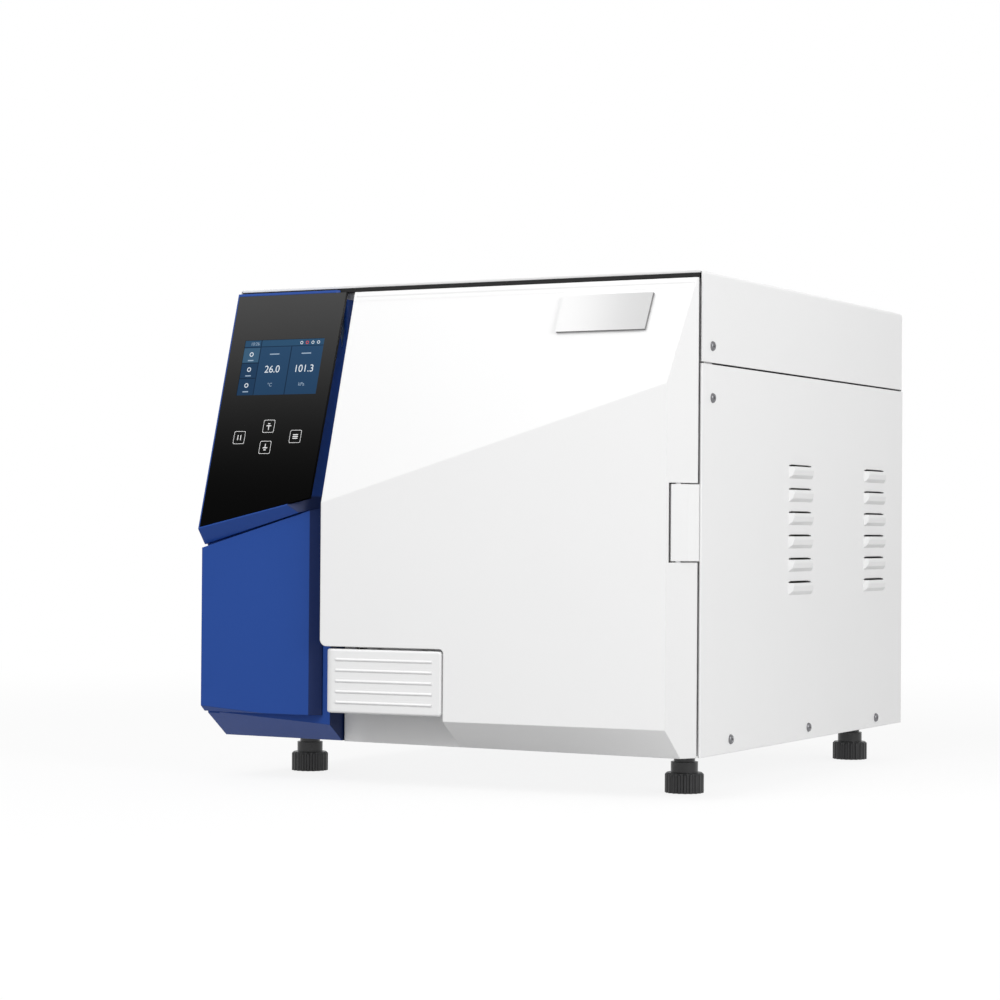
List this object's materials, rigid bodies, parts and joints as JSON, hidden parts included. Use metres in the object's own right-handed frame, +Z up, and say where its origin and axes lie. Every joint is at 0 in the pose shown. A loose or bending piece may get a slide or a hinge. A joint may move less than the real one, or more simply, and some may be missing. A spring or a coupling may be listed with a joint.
{
  "type": "autoclave",
  "caption": "Bench-top steam steriliser with a side-hinged pressure door, round chamber with trays, touch panel, louvred cabinet and levelling feet.",
  "frame": {"origin": "on the standing surface, below the middle of the whole machine", "axes": "+Z up, -Y towards the door, +X towards the door's hinge"},
  "size_m": [0.4658, 0.5535, 0.435],
  "materials": {
    "cabinet_white": "fine powder coat, half gloss",
    "door_white": "smooth moulded plastic, half gloss",
    "handle_white": "smooth moulded plastic",
    "housing_blue": "painted moulding, half gloss",
    "trim_grey": "matt",
    "control_glass": "black printed glass",
    "display_face": "lit display behind glass",
    "feet_black": "moulded rubber-like plastic",
    "stainless": "brushed",
    "polished_steel": "polished",
    "zinc_sheet": "zinc plated sheet",
    "aluminium": "plain",
    "seal": "silicone",
    "felt": "felt",
    "black_plastic": "moulded",
    "tank_plastic": "natural moulded",
    "board": "circuit board",
    "brass": "plain"
  },
  "bodies": {
    "cabinet": {"air_filter": "tank_plastic", "base_pan": "zinc_sheet", "chamber": "stainless", "chamber_cradle": "aluminium", "chamber_flange": "stainless", "control_board": "board", "control_glass": "control_glass", "control_housing": "housing_blue", "display": "display_face", "drain_couplings": "brass", "fan_frame": "black_plastic", "filler_frame": "tank_plastic", "flap_pins": "polished_steel", "foot_bushes": "brass", "front_frame": "cabinet_white", "fuse_holders": "black_plastic", "hinge_bracket": "aluminium", "hinge_cover": "door_white", "hinge_pin": "polished_steel", "hose_barbs": "brass", "insulation_jacket": "felt", "lock_motor": "black_plastic", "mains_inlet": "black_plastic", "power_supply": "zinc_sheet", "rear_panel": "cabinet_white", "side_panel_left": "cabinet_white", "side_panel_right": "cabinet_white", "steam_generator": "aluminium", "strike_plate": "stainless", "switch_frame": "black_plastic", "tank_shelf": "zinc_sheet", "top_cover": "cabinet_white", "tray_rack": "stainless", "trays": "stainless", "trim_strip": "trim_grey", "vacuum_pump": "aluminium", "waste_tank": "tank_plastic", "water_tank": "tank_plastic"},
    "door": {"door_shell": "door_white", "door_liner": "door_white", "pressure_door": "stainless", "door_gasket": "seal", "cross_arm": "stainless", "centre_stud": "polished_steel", "badge_plate": "handle_white", "handle_bracket": "stainless", "handle_pins": "polished_steel", "latch_guide": "black_plastic"},
    "handle": {"door_handle": "handle_white"},
    "latch": {"latch_bolt": "stainless"},
    "lock": {"lock_pin": "polished_steel"},
    "flap": {"service_flap": "housing_blue"},
    "lid": {"filler_lid": "door_white"},
    "rocker": {"mains_rocker": "black_plastic"},
    "fan": {"fan_rotor": "black_plastic"},
    "foot_front_left": {"foot_front_left": "feet_black"},
    "foot_front_right": {"foot_front_right": "feet_black"},
    "foot_rear_left": {"foot_rear_left": "feet_black"},
    "foot_rear_right": {"foot_rear_right": "feet_black"}
  },
  "joints": [
    {"name": "door_hinge", "type": "hinge", "parent": "cabinet", "child": "door", "pos_m": [0.211, -0.2235, 0.2275], "axis": [0, 0, 1], "range_deg": [0, 105]},
    {"name": "handle_pivot", "type": "hinge", "parent": "door", "child": "handle", "pos_m": [-0.10071, -0.26203, 0.1125], "axis": [-0.9961, -0.0887, 0], "range_deg": [0, 15], "stiffness_Nm_per_rad": 1.5},
    {"name": "latch_slide", "type": "slide", "parent": "door", "child": "latch", "axis": [0, 0, -1], "range_m": [0, 0.0104]},
    {"name": "lock_slide", "type": "slide", "parent": "cabinet", "child": "lock", "axis": [0, -1, 0], "range_m": [0, 0.014]},
    {"name": "flap_hinge", "type": "hinge", "parent": "cabinet", "child": "flap", "pos_m": [-0.2234, -0.2669, 0.13], "axis": [0, 0, -1], "range_deg": [0, 90]},
    {"name": "filler_lid_hinge", "type": "hinge", "parent": "cabinet", "child": "lid", "pos_m": [-0.14, 0.0239, 0.432], "axis": [-1, 0, 0], "range_deg": [0, 95]},
    {"name": "rocker_tilt", "type": "hinge", "parent": "cabinet", "child": "rocker", "pos_m": [0.185, 0.2585, 0.095], "axis": [-1, 0, 0], "range_deg": [0, 15]},
    {"name": "fan_spin", "type": "hinge", "parent": "cabinet", "child": "fan", "pos_m": [-0.15, 0.2365, 0.23], "axis": [0, 1, 0], "continuous": true},
    {"name": "foot_front_left_turn", "type": "hinge", "parent": "cabinet", "child": "foot_front_left", "pos_m": [-0.188, -0.1555, 0.02], "axis": [0, 0, 1], "continuous": true},
    {"name": "foot_front_right_turn", "type": "hinge", "parent": "cabinet", "child": "foot_front_right", "pos_m": [0.188, -0.1555, 0.02], "axis": [0, 0, 1], "continuous": true},
    {"name": "foot_rear_left_turn", "type": "hinge", "parent": "cabinet", "child": "foot_rear_left", "pos_m": [-0.188, 0.2295, 0.02], "axis": [0, 0, 1], "continuous": true},
    {"name": "foot_rear_right_turn", "type": "hinge", "parent": "cabinet", "child": "foot_rear_right", "pos_m": [0.188, 0.2295, 0.02], "axis": [0, 0, 1], "continuous": true}
  ],
  "couplings": [
    {"joint": "latch_slide", "follows": "handle_pivot", "m_per_rad": 0.0374}
  ]
}
